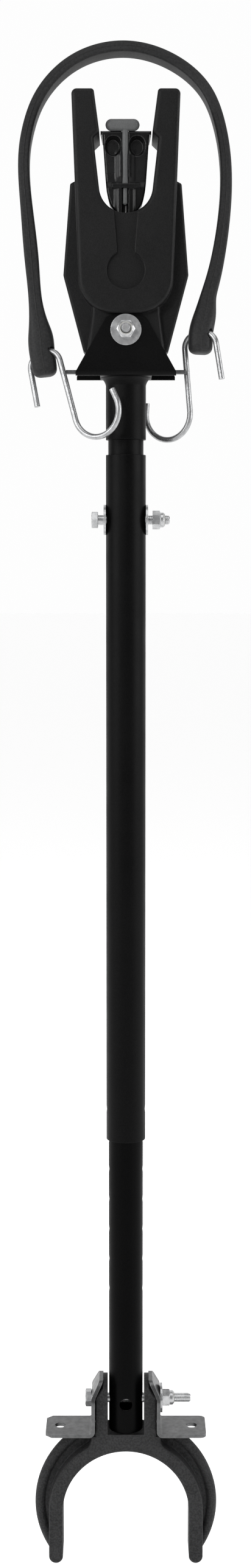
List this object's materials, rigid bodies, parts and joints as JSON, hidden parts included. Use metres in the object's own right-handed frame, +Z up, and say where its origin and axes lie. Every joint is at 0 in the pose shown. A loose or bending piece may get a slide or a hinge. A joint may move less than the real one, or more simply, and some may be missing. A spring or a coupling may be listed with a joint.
{
  "type": "transom support bracket",
  "caption": "Telescoping strut that props an outboard motor on its trailer: moulded V cradle with rubber strap and wire hooks above, forked cast foot with fixing tabs below.",
  "frame": {"origin": "middle of the two fixing holes, on the underside of the adapter tabs", "axes": "+Z up along the tubes to the cradle, X along the lower cross bolt, front faces -Y"},
  "size_m": [0.1686, 0.0796, 1.2416],
  "materials": {
    "casting_dark": "fine cast texture, painted dark grey",
    "plate_grey": "matt grey plated",
    "zinc": "bright zinc plated",
    "tube_black": "satin black powder coat",
    "spring_blue": "gloss",
    "cradle_black": "fine moulded grain",
    "pad_rubber": "matt",
    "pin_grey": "satin grey",
    "strap_rubber": "satin"
  },
  "bodies": {
    "foot": {"fork": "casting_dark", "adapter_left": "plate_grey", "adapter_right": "plate_grey", "lower_bolt": "zinc", "lower_washer": "zinc", "lower_nut": "zinc"},
    "lower_tube": {"lower_tube": "tube_black"},
    "upper_tube": {"upper_tube": "tube_black", "shock_bolt": "zinc", "shock_washers": "zinc", "shock_nut": "zinc", "shock_spring": "spring_blue"},
    "head": {"stem_tube": "tube_black", "stub_tube": "tube_black", "clevis": "tube_black", "strap_rod": "zinc", "pivot_bolt": "zinc", "pivot_washers": "zinc", "pivot_nut": "zinc", "strap": "strap_rubber"},
    "cradle": {"cradle": "cradle_black", "cradle_pad": "pad_rubber", "locking_pin": "pin_grey"},
    "hook_left": {"hook_left": "zinc"},
    "hook_right": {"hook_right": "zinc"}
  },
  "joints": [
    {"name": "tube_swing", "type": "hinge", "parent": "foot", "child": "lower_tube", "pos_m": [0, 0, 0.027], "axis": [1, 0, 0], "range_deg": [-80, 80]},
    {"name": "telescope", "type": "slide", "parent": "lower_tube", "child": "upper_tube", "axis": [0, 0, 1], "range_m": [-0.1524, 0.1524]},
    {"name": "shock_stroke", "type": "slide", "parent": "upper_tube", "child": "head", "axis": [0, 0, 1], "range_m": [-0.01, 0], "stiffness_N_per_m": 40000, "springref_m": 0.002, "deforming": ["shock_spring"]},
    {"name": "cradle_tilt", "type": "hinge", "parent": "head", "child": "cradle", "pos_m": [0, 0, 0.9005], "axis": [0, 1, 0], "range_deg": [-8, 8]},
    {"name": "hook_left_swing", "type": "hinge", "parent": "head", "child": "hook_left", "pos_m": [-0.066, -0.00346, 0.88408], "axis": [0.8282, -0.4782, 0.2924], "range_deg": [-40, 5]},
    {"name": "hook_right_swing", "type": "hinge", "parent": "head", "child": "hook_right", "pos_m": [0.058, -0.00123, 0.89992], "axis": [0.862, -0.4977, 0.0958], "range_deg": [0, 40]}
  ]
}
